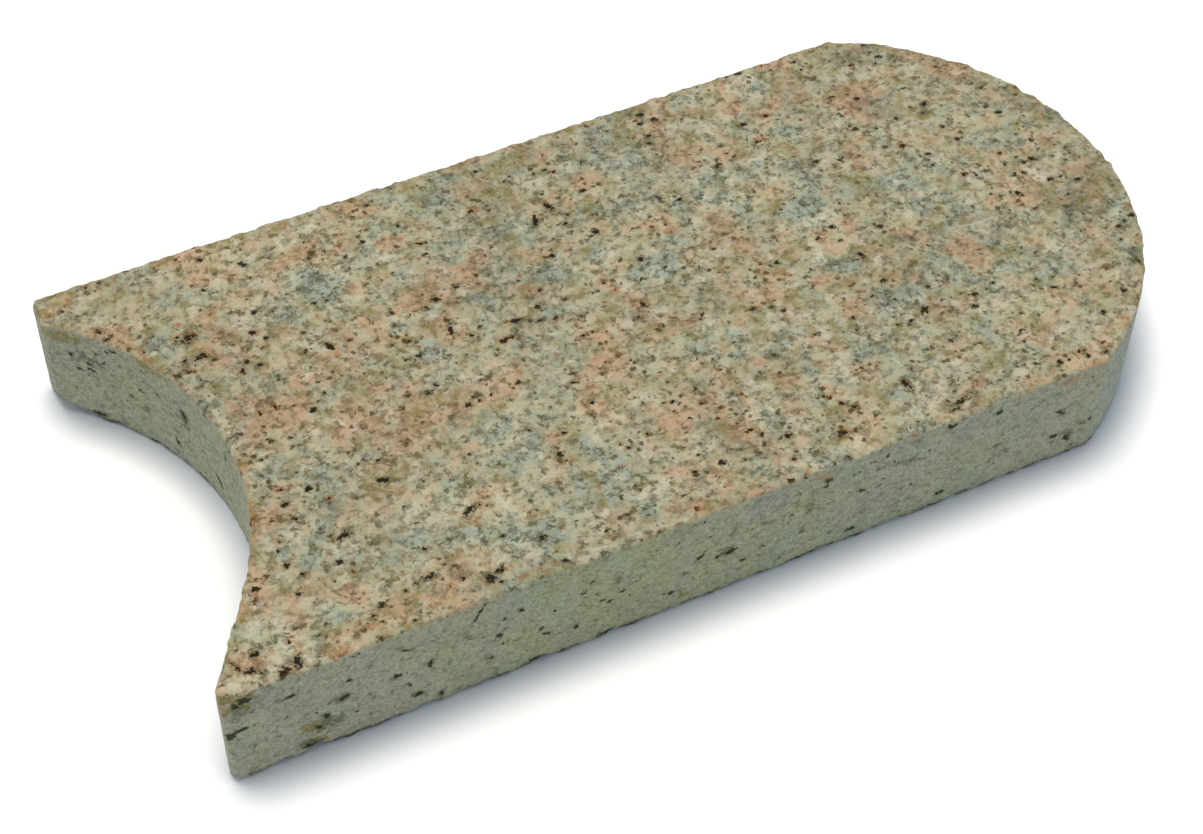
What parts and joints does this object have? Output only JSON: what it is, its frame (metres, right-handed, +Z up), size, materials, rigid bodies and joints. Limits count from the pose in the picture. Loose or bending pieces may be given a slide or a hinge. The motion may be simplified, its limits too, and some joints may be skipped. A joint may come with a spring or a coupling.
{
  "type": "lawn edging stone",
  "caption": "Flat granite edging stone with a round nose at one end and a matching notch at the other, so that stones laid in a row nest and can turn.",
  "frame": {"origin": "centre of the stone's underside, at the bottom centre of its bounding box", "axes": "+X along the stone towards its round nose, +Y across it, +Z up through the rough top face"},
  "size_m": [0.2532, 0.125, 0.0295],
  "materials": {
    "granite": "rough flamed top, sawn sides"
  },
  "bodies": {
    "root": {"edging_stone": "granite"}
  },
  "joints": []
}
